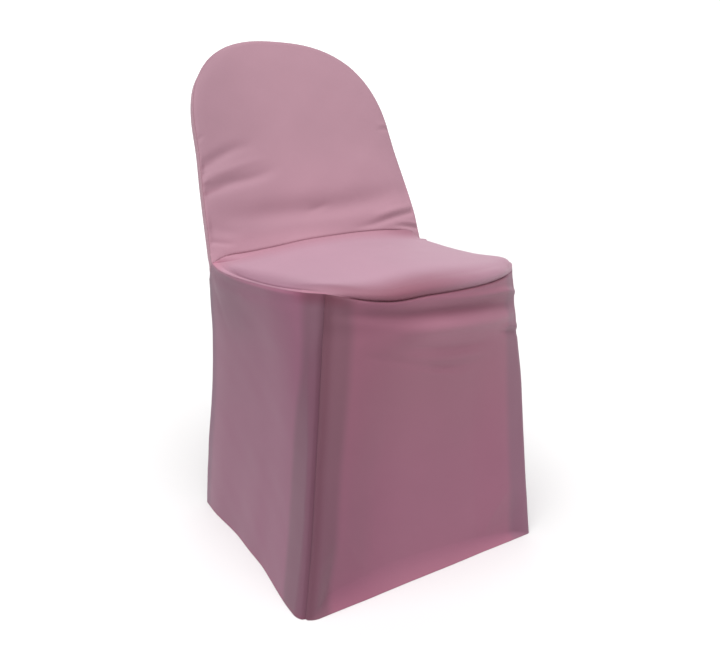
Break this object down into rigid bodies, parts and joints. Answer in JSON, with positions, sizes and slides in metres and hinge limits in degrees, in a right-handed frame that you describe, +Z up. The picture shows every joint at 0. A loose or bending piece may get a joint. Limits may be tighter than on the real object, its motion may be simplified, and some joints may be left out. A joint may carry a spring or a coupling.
{
  "type": "stretch chair cover",
  "caption": "Stretch knit chair cover in its fitted shape: an arched leaning back, a crowned seat with a rolled front lip and a floor-length skirt.",
  "frame": {"origin": "under the middle of the seat panel, where the chair's seat carries it", "axes": "+Z up, +Y towards the backrest, +X to the right seen from the front"},
  "size_m": [0.4562, 0.5138, 0.8493],
  "materials": {
    "stretch_knit": "matt dusty pink stretch knit, a little sheer, darker where nothing backs it"
  },
  "bodies": {
    "root": {"seat_panel": "stretch_knit", "inner_back": "stretch_knit", "outer_back": "stretch_knit", "front_skirt": "stretch_knit", "side_skirt_left": "stretch_knit", "side_skirt_right": "stretch_knit"}
  },
  "joints": []
}
